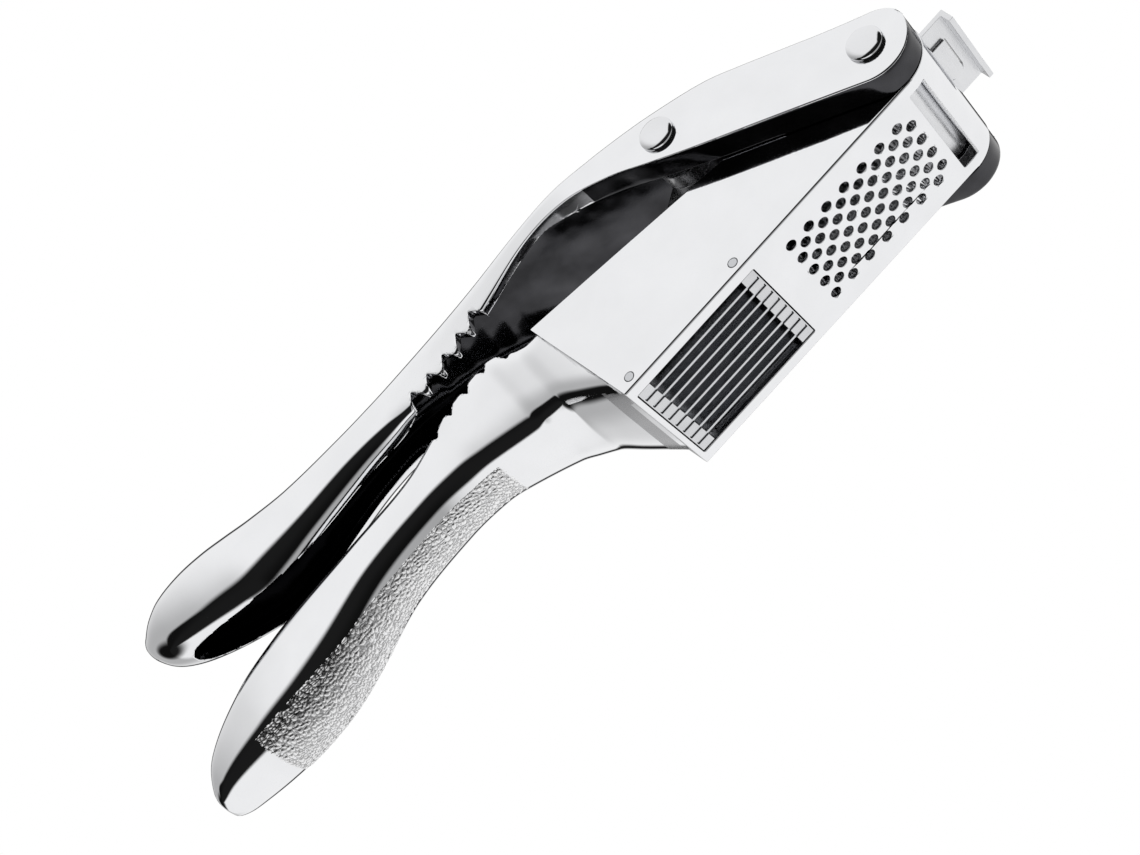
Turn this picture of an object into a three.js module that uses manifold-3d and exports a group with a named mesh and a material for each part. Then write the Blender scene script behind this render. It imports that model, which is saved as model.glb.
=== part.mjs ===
// Two-in-one garlic press: slices at the handle end of the box and minces at the hinge end.
// Millimetres. X runs from the handles to the hinge, Y along the pins, Z up from the flat
// underside of the box. The lever is modelled almost closed, the way the press is squeezed.
// Lengths along X below are counted from the handle end of the box, and the finished pieces
// are then moved by ORIGIN_X, so that the origin lies on the underside between the two grids.
import * as THREE from 'three';
import * as BufferGeometryUtils from 'three/addons/utils/BufferGeometryUtils.js';
import Module from 'manifold-3d';

const wasm = await Module();
wasm.setup();

// ---------------------------------------------------------------- main dimensions
const ORIGIN_X = 38.5;
const HINGE = { x: 82.6, z: 9.4 };
const PIVOT = { x: 43.1, z: 36.9 };
const BOX_HALF = 16.75;
const WALL = 3.2;
const CHAMBER_HALF = BOX_HALF - WALL;
const FLOOR = 2.6;
const EAR_R = 9.4;
const CHEEK_IN = 17.1;
const CHEEK_OUT = 23.3;
const CHEEK_R = 9.2;
const BAND_SLOPE = THREE.MathUtils.degToRad(38);
const HINGE_PIN_R = 3.0;
const PIVOT_PIN_R = 2.7;
const RUNNING = 0.05;
const HEAD_R = 4.05;
const HEAD_RISE = 1.75;
const BLADE_COUNT = 8;
const BLADE_PITCH = 3.0;
const BLADE_T = 0.6;
const ROD_R = 1.05;
const ROD_Z = 2.56;
const ROD_X = [2.4, 33.2];
const WINDOW = { x0: 0.5, x1: 35.1, top: 5.4 };
const HOLE_R = 1.2;
const LIP_R = 6.4;
const KNUCKLE_R = 6.2;
const SHEET = 1.2;

// Sections of the lower handle and its neck: x, half width, bottom, widest level, top,
// squareness of the upper half, squareness of the lower half.
const LOWER = [
  [-127.5, 0.4, 19.2, 19.7, 20.2, 2.0, 2.0],
  [-126.6, 4.2, 17.4, 20.8, 24.6, 2.0, 2.0],
  [-121, 8.2, 16.4, 23.6, 31.0, 2.1, 2.1],
  [-107, 11.0, 14.8, 25.9, 37.8, 2.1, 2.1],
  [-95, 11.5, 15.2, 27.3, 40.4, 2.1, 2.1],
  [-84, 11.1, 17.8, 29.0, 41.6, 2.1, 2.1],
  [-67, 10.2, 23.6, 32.4, 41.8, 2.1, 2.1],
  [-48, 10.0, 25.2, 33.8, 42.2, 2.2, 2.2],
  [-37, 10.2, 24.0, 33.6, 44.0, 3.4, 2.2],
  [-32, 10.6, 22.6, 33.0, 45.0, 4.6, 2.3],
  [-19, 12.0, 17.2, 29.0, 45.2, 5.6, 2.5],
  [-15.5, 12.9, 15.4, 26.4, 43.6, 5.6, 2.6],
  [-11.6, 13.9, 13.3, 23.4, 39.2, 5.6, 2.7],
  [-11, 14.1, 12.8, 22.8, 38.8, 5.2, 2.7],
  [-8, 15.2, 9.3, 20.0, 35.9, 6.0, 2.9],
  [-3, 16.4, 3.7, 14.6, 33.5, 9.0, 3.3],
  [0, 16.7, 0.25, 12.0, 32.6, 12.0, 4.0],
];

// Sections of the lever, in the same order of columns.
const UPPER = [
  [-124.5, 0.4, 71.3, 71.8, 72.3, 2.0, 2.0],
  [-123.7, 2.6, 68.8, 71.6, 74.4, 2.0, 2.0],
  [-121.5, 5.0, 64.8, 70.2, 76.0, 2.0, 2.0],
  [-118, 7.4, 61.4, 69.6, 77.8, 2.0, 2.0],
  [-113, 9.4, 58.4, 68.6, 79.0, 2.1, 2.1],
  [-105, 11.1, 54.6, 66.4, 78.8, 2.1, 2.1],
  [-97, 11.8, 51.4, 64.0, 77.2, 2.1, 2.1],
  [-90, 11.9, 49.2, 61.6, 75.2, 2.1, 2.1],
  [-83, 11.4, 49.4, 60.6, 73.0, 2.1, 2.1],
  [-72, 10.4, 50.8, 59.6, 70.4, 2.2, 2.2],
  [-55, 9.2, 53.0, 60.2, 68.8, 2.3, 2.3],
  [-43, 8.9, 53.0, 60.0, 68.2, 2.4, 3.0],
  [-36, 9.4, 52.0, 59.2, 67.6, 2.5, 5.0],
  [-22, 11.2, 51.0, 57.0, 65.8, 2.8, 8.0],
  [-8, 14.2, 51.8, 55.0, 62.6, 3.2, 8.0],
  [8, 18.5, 51.0, 52.8, 57.9, 4.0, 12.0],
  [20, 21.8, 46.4, 48.6, 54.0, 5.0, 20.0],
  [30, 23.0, 39.8, 42.4, 51.0, 6.0, 28.0],
  [38, 23.3, 32.8, 36.8, 48.6, 7.0, 30.0],
  [46, 23.3, 26.2, 31.2, 45.8, 8.0, 30.0],
  [58, 23.3, 16.9, 25.0, 40.1, 9.0, 30.0],
  [66, 23.3, 10.7, 20.0, 34.0, 10.0, 30.0],
];

// Half widths of the slots that open each handle towards the other: x, half width.
const LOWER_SLOT = [[-117, 0.6], [-114, 3.4], [-107, 5.8], [-90, 6.4], [-60, 4.8], [-42, 4.6]];
const UPPER_SLOT = [
  [-115.4, 0.6], [-113, 3.0], [-104.6, 5.2], [-97, 6.0], [-90, 6.6], [-72, 4.6], [-55, 3.9],
  [-43, 4.0], [-36, 6.9], [-22, 8.9], [-8, 11.6], [8, 15.6], [20, CHEEK_IN], [60, CHEEK_IN],
];

// ---------------------------------------------------------------- helpers
const solid = (geometry) => {
  let g = geometry.index ? geometry.toNonIndexed() : geometry.clone();
  g.deleteAttribute('normal');
  g.deleteAttribute('uv');
  g = BufferGeometryUtils.mergeVertices(g, 1e-5);
  return new wasm.Manifold(new wasm.Mesh({
    numProp: 3,
    vertProperties: new Float32Array(g.attributes.position.array),
    triVerts: new Uint32Array(g.index.array),
  }));
};

const box = (x0, x1, y0, y1, z0, z1) => {
  const g = new THREE.BoxGeometry(x1 - x0, y1 - y0, z1 - z0);
  g.translate((x0 + x1) / 2, (y0 + y1) / 2, (z0 + z1) / 2);
  return solid(g);
};

const rod = (x, z, r, y0, y1, segments = 40) => {
  const g = new THREE.CylinderGeometry(r, r, y1 - y0, segments);
  g.translate(x, (y0 + y1) / 2, z);
  return solid(g);
};

const post = (x, y, r, z0, z1, segments = 10) => {
  const g = new THREE.CylinderGeometry(r, r, z1 - z0, segments);
  g.rotateX(Math.PI / 2);
  g.translate(x, y, (z0 + z1) / 2);
  return solid(g);
};

// A side view (x, z) given thickness from y0 to y1.
const plate = (shape, y0, y1, curveSegments = 24) => {
  const g = new THREE.ExtrudeGeometry(shape, {
    depth: y1 - y0, bevelEnabled: false, curveSegments,
  });
  g.rotateX(Math.PI / 2);
  g.translate(0, y1, 0);
  return solid(g);
};

const outline = (points) => new THREE.Shape(points.map(([x, z]) => new THREE.Vector2(x, z)));

const union = (parts) => parts.reduce((a, b) => a.add(b));

const steps = (from, to, count) => {
  const list = [];
  for (let i = 0; i <= count; i += 1) list.push(from + (to - from) * i / count);
  return list;
};

// Smooth reading of one column of a section table at x.
const read = (table, x, column) => {
  const last = table.length - 1;
  let i = 0;
  while (i < last - 1 && x > table[i + 1][0]) i += 1;
  const slope = (k) => {
    const a = table[Math.max(k - 1, 0)];
    const b = table[Math.min(k + 1, last)];
    return (b[column] - a[column]) / (b[0] - a[0]);
  };
  const p = table[i];
  const q = table[i + 1];
  const h = q[0] - p[0];
  const t = (x - p[0]) / h;
  const t2 = t * t;
  const t3 = t2 * t;
  return (2 * t3 - 3 * t2 + 1) * p[column] + (t3 - 2 * t2 + t) * h * slope(i)
    + (3 * t2 - 2 * t3) * q[column] + (t3 - t2) * h * slope(i + 1);
};

// An oval section at x, whose upper and lower halves have their own height and squareness.
const oval = (x, w, bottom, middle, top, nTop, nBottom, count) => {
  const ring = [];
  for (let k = 0; k < count; k += 1) {
    const a = 2 * Math.PI * k / count;
    const c = Math.cos(a);
    const s = Math.sin(a);
    const n = s >= 0 ? nTop : nBottom;
    const reach = s >= 0 ? top - middle : middle - bottom;
    ring.push([
      x,
      w * Math.sign(c) * Math.abs(c) ** (2 / n),
      middle + reach * Math.sign(s) * Math.abs(s) ** (2 / n),
    ]);
  }
  return ring;
};
const section = (table, x, inset, count) => {
  const [w, bottom, middle, top, nTop, nBottom] = [1, 2, 3, 4, 5, 6].map(
    (column) => read(table, x, column));
  return oval(
    x, Math.max(w - inset, 0.3), Math.min(bottom + inset, middle - 0.3), middle,
    Math.max(top - inset, middle + 0.3), nTop, nBottom, count);
};

// A block of varying half width and upper end, used to open a hollow from one side.
const slot = (table, from, to, count, z0, end) => loft(steps(from, to, count).map((x) => {
  const w = read(table, x, 1);
  const z1 = end(x);
  return [[x, -w, z0], [x, w, z0], [x, w, z1], [x, -w, z1]];
}));

const loft = (rings) => {
  const n = rings[0].length;
  const position = rings.flat(2);
  const index = [];
  rings.slice(1).forEach((_, r) => {
    for (let k = 0; k < n; k += 1) {
      const a = r * n + k;
      const b = r * n + (k + 1) % n;
      index.push(a, b, a + n, b, b + n, a + n);
    }
  });
  const top = (rings.length - 1) * n;
  for (let k = 1; k < n - 1; k += 1) {
    index.push(0, k + 1, k);
    index.push(top, top + k, top + k + 1);
  }
  const volume = index.reduce((sum, _, i) => {
    if (i % 3) return sum;
    const [a, b, c] = [0, 1, 2].map((j) => new THREE.Vector3(
      ...position.slice(index[i + j] * 3, index[i + j] * 3 + 3)));
    return sum + a.dot(b.cross(c));
  }, 0);
  if (volume < 0) index.reverse();
  return new wasm.Manifold(new wasm.Mesh({
    numProp: 3,
    vertProperties: new Float32Array(position),
    triVerts: new Uint32Array(index),
  }));
};

// Rows of mincing holes, every second row shifted by half a pitch.
const HOLES = [];
for (let row = 0; row < 14; row += 1) {
  const x = 77.6 - 2.6 * row;
  const first = row % 2 ? -10 : -7.5;
  for (let y = first; y <= -first + 0.1; y += 5) HOLES.push([x, y]);
}
const BLADE_Y = steps(-(BLADE_COUNT - 1) / 2, (BLADE_COUNT - 1) / 2, BLADE_COUNT - 1)
  .map((k) => k * BLADE_PITCH);

// Outline of V cuts into an edge that runs at height edge(x); what is left between the cuts
// is a row of nutcracker teeth. The cutter reaches from the edge to the level called far.
const sawCut = (first, pitch, count, edge, depth, far) => {
  const way = Math.sign(far - edge(first));
  const points = [[first - pitch / 2, far]];
  for (let k = 0; k < count; k += 1) {
    const x = first + k * pitch;
    points.push([x - pitch * 0.44, edge(x - pitch / 2) - way * 0.2]);
    points.push([x, edge(x) - way * depth]);
    points.push([x + pitch * 0.44, edge(x + pitch / 2) - way * 0.2]);
  }
  points.push([first + (count - 0.5) * pitch, far]);
  return outline(points);
};

// ---------------------------------------------------------------- lower casting
const side = new THREE.Shape();
side.moveTo(-0.8, 0);
side.lineTo(HINGE.x, 0);
side.absarc(HINGE.x, HINGE.z, EAR_R, -Math.PI / 2, THREE.MathUtils.degToRad(80.8), false);
side.lineTo(-5.2, 33.2);
const lowerXs = [-127.5, -127.2, -126.7, -125.8, -124.4, -122.5, ...steps(-120, 0, 28)];

// Everything hollowed out between the ears; the lip that stays in front of the tab's knuckle
// is a short arc of the same round as the ears.
const chamber = new THREE.Shape();
chamber.moveTo(WALL + 0.2, FLOOR);
chamber.lineTo(80.9, FLOOR);
chamber.lineTo(80.9, -1);
chamber.lineTo(85.4, -1);
chamber.absarc(HINGE.x, HINGE.z, LIP_R, -1.118, 0.06, false);
chamber.lineTo(100, HINGE.z + 0.38);
chamber.lineTo(100, 60);
chamber.lineTo(-5.5, 60);
chamber.lineTo(-1.2, 33);

let body = plate(side, -BOX_HALF, BOX_HALF)
  .add(loft(lowerXs.map((x) => section(LOWER, x, 0, 32))));
body = body.subtract(plate(chamber, -CHAMBER_HALF, CHAMBER_HALF));
body = body.subtract(plate(sawCut(-36.8, 5.85, 5, (x) => read(LOWER, x, 4), 5.2, 60), -20, 20));
body = body.subtract(loft(steps(-121.5, -42, 20).map((x) => section(LOWER, x, 2.4, 24))));
body = body.subtract(slot(LOWER_SLOT, -116.8, -42, 14, 30, () => 60));
body = body.subtract(box(
  WINDOW.x0, WINDOW.x1, -CHAMBER_HALF, CHAMBER_HALF, -1, WINDOW.top));
body = body.subtract(union(HOLES.map(([x, y]) => post(x, y, HOLE_R, -1, 4))));
body = body.subtract(union(ROD_X.map((x) => rod(x, ROD_Z, ROD_R + RUNNING, -20, 20, 20))));
body = body.subtract(rod(HINGE.x, HINGE.z, HINGE_PIN_R + RUNNING, -20, 20));

// ---------------------------------------------------------------- lever
const bandTop = (x) => {
  const touch = HINGE.x + CHEEK_R * Math.sin(BAND_SLOPE);
  if (x >= touch) return HINGE.z + Math.sqrt(Math.max(CHEEK_R ** 2 - (x - HINGE.x) ** 2, 0));
  const line = HINGE.z + CHEEK_R / Math.cos(BAND_SLOPE) - (x - HINGE.x) * Math.tan(BAND_SLOPE);
  return line;
};
const bandBottom = (x) => {
  const touch = HINGE.x - CHEEK_R * Math.sin(BAND_SLOPE);
  if (x >= touch) return HINGE.z - Math.sqrt(Math.max(CHEEK_R ** 2 - (x - HINGE.x) ** 2, 0));
  return HINGE.z - CHEEK_R / Math.cos(BAND_SLOPE) - (x - HINGE.x) * Math.tan(BAND_SLOPE);
};
const leverRing = (x, count) => {
  if (x <= 66) return section(UPPER, x, 0, count);
  const low = bandBottom(x);
  const high = bandTop(x);
  return oval(x, CHEEK_OUT, low, low + (high - low) * 0.4, high, 10, 30, count);
};
const leverXs = [
  -124.5, -124.2, -123.7, -122.8, -121.5, -119.6,
  ...steps(-117.5, 66, 36),
  70, 74, 76.9, 78.5, 80.5, 82.6, 84.6, 86.5, 88.3, 89.6, 90.6, 91.3, 91.7,
];
const hollowRing = (x, count) => {
  const ring = section(UPPER, x, 2.6, count);
  if (x < -30) return ring;
  const squarer = read(UPPER, x, 5) * 1.6;
  const crown = read(UPPER, x, 4) - 3;
  const middle = Math.min(read(UPPER, x, 3), crown - 4);
  return oval(x, Math.min(CHEEK_IN, read(UPPER, x, 1) - 2.6), middle - 4, middle, crown,
    squarer, 8, count);
};

let lever = loft(leverXs.map((x) => leverRing(x, 32)));
lever = lever.subtract(loft(steps(-119.5, 60, 34).map((x) => hollowRing(x, 24))));
lever = lever.subtract(union([[-115.2, -72, 11], [-72, 20, 22], [20, 60, 6]].map(
  ([from, to, count]) => slot(
    UPPER_SLOT, from - 0.01, to, count, -10, (x) => read(UPPER, x, 3)))));
lever = lever.subtract(plate(sawCut(-34.7, 5.55, 5, (x) => read(UPPER, x, 2), 4, 30), -20, 20));
lever = lever.subtract(box(58, 100, -CHEEK_IN, CHEEK_IN, -20, 60));
lever = lever.subtract(rod(HINGE.x, HINGE.z, HINGE_PIN_R + RUNNING, -30, 30));
lever = lever.subtract(rod(PIVOT.x, PIVOT.z, PIVOT_PIN_R + RUNNING, -30, 30));

// ---------------------------------------------------------------- plunger
const PLUNGER_HALF = 13.0;
const rib = outline([
  [7, 9.6], [36, 9.6], [38, 7.6], [69.4, 7.6], [69.4, 10.6], [48.6, 36], [37.8, 36], [7, 13.4],
]);
const studs = HOLES.filter(([x]) => x < 69);
let plunger = box(4.9, 36, -PLUNGER_HALF, PLUNGER_HALF, 8.4, 11.4)
  .add(box(35.4, 38.2, -PLUNGER_HALF, PLUNGER_HALF, 5.4, 11.4))
  .add(box(36, 70.2, -PLUNGER_HALF, PLUNGER_HALF, 5.4, 8.6))
  .add(plate(rib, 8, 11))
  .add(plate(rib, -11, -8))
  .add(rod(PIVOT.x, PIVOT.z, 5.6, -15.0, 15.0))
  .add(union(steps(-12, 12, 8).map((y) => box(
    5.8, 30.6, y - 0.93, y + 0.93, 4.9, 8.6))))
  .add(union(studs.map(([x, y]) => post(x, y, 0.9, 4.2, 5.8, 8))));
plunger = plunger.subtract(rod(PIVOT.x, PIVOT.z, PIVOT_PIN_R + RUNNING, -20, 20));

// ---------------------------------------------------------------- pins
// Profiles turn about Y; the domed head sits outside the near cheek.
const domed = (r, shankR, y0, y1, from) => {
  const points = [new THREE.Vector2(0, from)];
  points.push(new THREE.Vector2(shankR, from), new THREE.Vector2(shankR, y0));
  points.push(new THREE.Vector2(r, y0), new THREE.Vector2(r, y0 + (y1 - y0) * 0.3));
  for (let k = 1; k <= 8; k += 1) {
    const a = Math.PI / 2 * k / 8;
    const rise = (y1 - y0) * (0.3 + 0.7 * Math.sin(a));
    points.push(new THREE.Vector2(k === 8 ? 0 : r * Math.cos(a) ** 0.6, y0 + rise));
  }
  return new THREE.LatheGeometry(points, 36);
};
const SOCKET_R = 1.65;
const pinPair = (at, shankR) => {
  const near = domed(HEAD_R, shankR, CHEEK_OUT + 0.08, CHEEK_OUT + HEAD_RISE, -CHEEK_OUT);
  near.rotateX(Math.PI);
  near.translate(at.x, 0, at.z);
  const far = domed(HEAD_R, SOCKET_R - RUNNING, CHEEK_OUT + 0.08, CHEEK_OUT + HEAD_RISE, 18.6);
  far.translate(at.x, 0, at.z);
  return [
    solid(near).subtract(rod(at.x, at.z, SOCKET_R, 18.3, 30, 32)),
    solid(far),
  ];
};
const [hingePin, hingeCap] = pinPair(HINGE, HINGE_PIN_R);
const [plungerPin, plungerCap] = pinPair(PIVOT, PIVOT_PIN_R);

// ---------------------------------------------------------------- slicing blades
const bladeShape = outline([
  [1.2, 0.6], [34.4, 0.6], [34.4, 4.3], [31.2, 4.3], [31.2, 5.7], [4.4, 5.7], [4.4, 4.3],
  [1.2, 4.3],
]);
const rodHoles = (y0, y1) => union(ROD_X.map((x) => rod(x, ROD_Z, ROD_R + RUNNING, y0, y1, 20)));
const blade = (y) => {
  const t = BLADE_T / 2;
  const edge = new THREE.Shape([
    [y - t, 0], [y + t, 0], [y + t, 4.7], [y + 0.06, 5.8], [y - 0.06, 5.8], [y - t, 4.7],
  ].map(([a, b]) => new THREE.Vector2(a, b)));
  const g = new THREE.ExtrudeGeometry(edge, { depth: 40, bevelEnabled: false });
  g.rotateX(Math.PI / 2);
  g.rotateZ(Math.PI / 2);
  g.translate(-2, 0, 0);
  return plate(bladeShape, y - 1, y + 1).intersect(solid(g)).subtract(rodHoles(y - 2, y + 2));
};
const bar = (x0, x1, cut0, cut1) => {
  const slots = union(BLADE_Y.map((y) => box(cut0, cut1, y - 0.4, y + 0.4, -1, 4.5)));
  return box(x0, x1, -CHAMBER_HALF + 0.2, CHAMBER_HALF - 0.2, 0.3, 5.1)
    .subtract(slots)
    .subtract(rodHoles(-20, 20));
};
const rearBar = bar(0.7, 4.1, 1.0, 5);
const frontBar = bar(31.5, 34.9, 31, 34.6);

// ---------------------------------------------------------------- sheet tab on the hinge pin
const TAB_TOP = HINGE.z + 3.5;
const TAB_HALF = 10.5;
const tongue = (margin, root, z0, z1) =>
  box(92.6 - margin, 96.2 + margin, root, 3.6, z0, z1)
    .add(post(94.4, 3.6, 1.8 + margin, z0, z1, 32));
let tab = rod(HINGE.x, HINGE.z, KNUCKLE_R, -12.9, 12.9)
  .add(box(HINGE.x + 5.2, 91.6, -4.5, 4.5, TAB_TOP - SHEET, TAB_TOP))
  .add(box(91.3, 99.9, -TAB_HALF, TAB_HALF, TAB_TOP - SHEET, TAB_TOP))
  .add(box(98.7, 99.9, -TAB_HALF, TAB_HALF, TAB_TOP - 3.9, TAB_TOP))
  .subtract(tongue(0.5, -5.1, TAB_TOP - 3, TAB_TOP + 1))
  .add(tongue(0, -5.6, TAB_TOP - SHEET - 0.7, TAB_TOP - 0.5));
tab = tab.subtract(rod(HINGE.x, HINGE.z, HINGE_PIN_R + RUNNING, -20, 20));

// ---------------------------------------------------------------- the assembly
const FINISH = {
  chrome: { color: 0xd9dbde, roughness: 0.08, metalness: 1.0 },
  cast: { color: 0xb9bcc0, roughness: 0.28, metalness: 1.0 },
  steel: { color: 0xc6c9cc, roughness: 0.22, metalness: 1.0 },
};
const part = new THREE.Group();
part.name = 'garlic_press';
const place = (name, shape, finish) => {
  const mesh = shape.getMesh();
  const g = new THREE.BufferGeometry();
  g.setAttribute('position', new THREE.BufferAttribute(new Float32Array(mesh.vertProperties), 3));
  g.setIndex(new THREE.BufferAttribute(new Uint32Array(mesh.triVerts), 1));
  g.translate(-ORIGIN_X, 0, 0);
  g.computeVertexNormals();
  const node = new THREE.Mesh(g, new THREE.MeshStandardMaterial(FINISH[finish]));
  node.name = name;
  part.add(node);
};

place('press_body', body, 'chrome');
place('lever', lever, 'chrome');
place('plunger', plunger, 'cast');
place('hinge_pin', hingePin, 'chrome');
place('hinge_pin_cap', hingeCap, 'chrome');
place('plunger_pin', plungerPin, 'chrome');
place('plunger_pin_cap', plungerCap, 'chrome');
BLADE_Y.forEach((y, i) => place(`slicing_blade_${i + 1}`, blade(y), 'steel'));
place('blade_bar_rear', rearBar, 'steel');
place('blade_bar_front', frontBar, 'steel');
ROD_X.forEach((x, i) => place(
  ['blade_rod_rear', 'blade_rod_front'][i],
  rod(x, ROD_Z, ROD_R, -BOX_HALF, BOX_HALF, 20), 'steel'));
place('end_tab', tab, 'steel');

export default part;
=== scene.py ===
"""Looks of a two-in-one garlic press, which slices at one end of its box and minces at the other.

Pieces are modelled in millimetres with x counted from the handle end of the box, as the part
is drawn, and are moved into the row frame in metres by finish_piece(). X runs from the handles
to the hinge, Y along the pins and Z up from the flat underside.
"""

import math

import bmesh
import bpy
import numpy as np
from mathutils import Matrix, Vector, noise


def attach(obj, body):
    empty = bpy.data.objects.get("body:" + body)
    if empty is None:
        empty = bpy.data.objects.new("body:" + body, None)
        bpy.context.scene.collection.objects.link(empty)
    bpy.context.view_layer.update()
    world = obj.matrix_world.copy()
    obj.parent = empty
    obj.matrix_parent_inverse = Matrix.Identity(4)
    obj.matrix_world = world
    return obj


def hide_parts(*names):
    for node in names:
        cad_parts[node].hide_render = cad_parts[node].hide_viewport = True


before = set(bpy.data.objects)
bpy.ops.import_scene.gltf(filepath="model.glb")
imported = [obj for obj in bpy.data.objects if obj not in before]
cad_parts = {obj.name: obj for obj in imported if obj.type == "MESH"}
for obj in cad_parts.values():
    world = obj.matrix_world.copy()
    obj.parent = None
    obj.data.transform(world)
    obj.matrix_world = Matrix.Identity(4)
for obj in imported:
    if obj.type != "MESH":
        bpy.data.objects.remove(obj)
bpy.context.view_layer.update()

# ------------------------------------------------------------------ dimensions, mm
MM = 0.001
ORIGIN_X = 38.5                  # the frame's origin, counted from the handle end of the box
HINGE = (82.6, 9.4)              # x and z of the hinge pin
PIVOT = (43.1, 36.9)             # x and z of the pusher's pin
BOX_HALF = 16.75
BOX_EDGE = 0.55                  # rounding of the long lower edges of the box
CHAMBER_HALF = 13.55
FLOOR = 2.6
WINDOW = (0.5, 35.1, 5.4)        # start, end and top of the slicing window
EAR_R = 9.4
EAR_END = math.radians(80.8)     # where the ear's round end runs into the sloping rim
BODY_SKIN = 2.4                  # wall of the hollow lower handle
CHEEK_IN = 17.1
CHEEK_OUT = 23.3
CHEEK_R = 9.2
CHEEK_START = 66                 # the section table ends here and band() takes over
BAND_SLOPE = math.radians(38)    # slope of the cheeks towards the hinge
LEVER_SKIN = 2.6                 # wall of the hollow upper handle
HINGE_PIN_R = 3.0
PIVOT_PIN_R = 2.7
SOCKET_R = 1.65
SOCKET_START = 18.3              # the socket in a pin runs from here out of its plain end
RUNNING = 0.05                   # clearance round every pin
HEAD_R = 4.05
HEAD_RISE = 1.75
BLADE_COUNT = 8
BLADE_PITCH = 3.0
BLADE_T = 0.6
BLADE_GAP = 0.8                  # width of the slots in the comb bars
ROD_R = 1.05
ROD_Z = 2.56
ROD_X = (2.4, 33.2)
HOLE_R = 1.2
HOLE_ROWS = 14
HOLE_ROW_PITCH = 2.6
HOLE_PITCH = 5
LIP_R = 6.4
KNUCKLE_R = 6.2
SHEET = 1.2
TAB_TOP = HINGE[1] + 3.5
TAB_HALF = 10.5
TAB_END = 99.9
PUSHER_HALF = 13.0
PAST_BOX = 20                    # half width of a cutter that passes right through the box
PAST_LEVER = 30                  # and of one that passes through the lever
CASTING_BEVEL = 0.3
PUSHER_BEVEL = 0.2
STEEL_BEVEL = 0.15
COMB_BEVEL = 0.12

# Sections of the lower handle and its neck: x, half width, bottom, widest level, top,
# squareness of the upper half, squareness of the lower half.
LOWER = [
    (-127.5, 0.15, 19.55, 19.7, 19.85, 2.0, 2.0),
    (-126.6, 4.2, 17.4, 20.8, 24.6, 2.0, 2.0),
    (-121, 8.2, 16.4, 23.6, 31.0, 2.1, 2.1),
    (-107, 11.0, 14.8, 25.9, 37.8, 2.1, 2.1),
    (-95, 11.5, 15.2, 27.3, 40.4, 2.1, 2.1),
    (-84, 11.1, 17.8, 29.0, 41.6, 2.1, 2.1),
    (-67, 10.2, 23.6, 32.4, 41.8, 2.1, 2.1),
    (-48, 10.0, 25.2, 33.8, 42.2, 2.2, 2.2),
    (-37, 10.2, 24.0, 33.6, 44.0, 3.4, 2.2),
    (-32, 10.6, 22.6, 33.0, 45.0, 4.6, 2.3),
    (-19, 12.0, 17.2, 29.0, 45.2, 5.6, 2.5),
    (-15.5, 12.9, 15.4, 26.4, 43.6, 5.6, 2.6),
    (-11.6, 13.9, 13.3, 23.4, 39.2, 5.6, 2.7),
    (-11, 14.1, 12.8, 22.8, 38.8, 5.2, 2.7),
    (-8, 15.2, 9.3, 20.0, 35.9, 6.0, 2.9),
    (-3, 16.4, 3.7, 14.6, 33.5, 9.0, 3.3),
    (0, 16.7, 0.25, 12.0, 32.6, 12.0, 4.0),
]

# Sections of the lever, in the same order of columns.
UPPER = [
    (-124.5, 0.15, 71.65, 71.8, 71.95, 2.0, 2.0),
    (-123.7, 2.6, 68.8, 71.6, 74.4, 2.0, 2.0),
    (-121.5, 5.0, 64.8, 70.2, 76.0, 2.0, 2.0),
    (-118, 7.4, 61.4, 69.6, 77.8, 2.0, 2.0),
    (-113, 9.4, 58.4, 68.6, 78.93, 2.1, 2.1),
    (-105, 11.1, 54.6, 66.4, 78.72, 2.1, 2.1),
    (-97, 11.8, 51.4, 64.0, 77.2, 2.1, 2.1),
    (-90, 11.9, 49.2, 61.6, 75.2, 2.1, 2.1),
    (-83, 11.4, 49.4, 60.6, 73.0, 2.1, 2.1),
    (-72, 10.4, 50.8, 59.6, 70.4, 2.2, 2.2),
    (-55, 9.2, 53.0, 60.2, 68.8, 2.3, 2.3),
    (-43, 8.9, 53.0, 60.0, 68.2, 2.4, 3.0),
    (-36, 9.4, 52.0, 59.2, 67.6, 2.5, 5.0),
    (-22, 11.2, 51.0, 57.0, 65.8, 2.8, 8.0),
    (-8, 14.2, 51.8, 55.0, 62.6, 3.2, 8.0),
    (8, 18.5, 51.0, 52.8, 57.9, 4.0, 12.0),
    (20, 21.8, 46.4, 48.6, 54.0, 5.0, 20.0),
    (30, 23.0, 39.8, 42.4, 51.0, 6.0, 28.0),
    (38, 23.3, 32.8, 36.8, 48.6, 7.0, 30.0),
    (46, 23.3, 26.2, 31.2, 45.8, 8.0, 30.0),
    (58, 23.3, 16.9, 25.0, 40.1, 9.0, 30.0),
    (66, 23.3, 10.7, 20.0, 34.0, 10.0, 30.0),
]

# Half widths of the slots that open each handle towards the other: x, half width.
LOWER_SLOT = [(-117, 0.6), (-114, 3.4), (-107, 5.8), (-90, 6.4), (-60, 4.8), (-42, 4.6)]
UPPER_SLOT = [
    (-115.4, 0.6), (-113, 3.0), (-104.6, 5.2), (-97, 6.0), (-90, 6.6), (-72, 4.6), (-55, 3.9),
    (-43, 4.0), (-36, 6.9), (-22, 8.9), (-8, 11.6), (8, 15.6), (20, CHEEK_IN), (60, CHEEK_IN),
]

# Edge of the pebbled grip on the lower handle: x, angle round the section in degrees.
GRIP = [(-110, 213), (-94, 218), (-76, 230), (-64, 238), (-48, 241), (-31, 241)]


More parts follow.
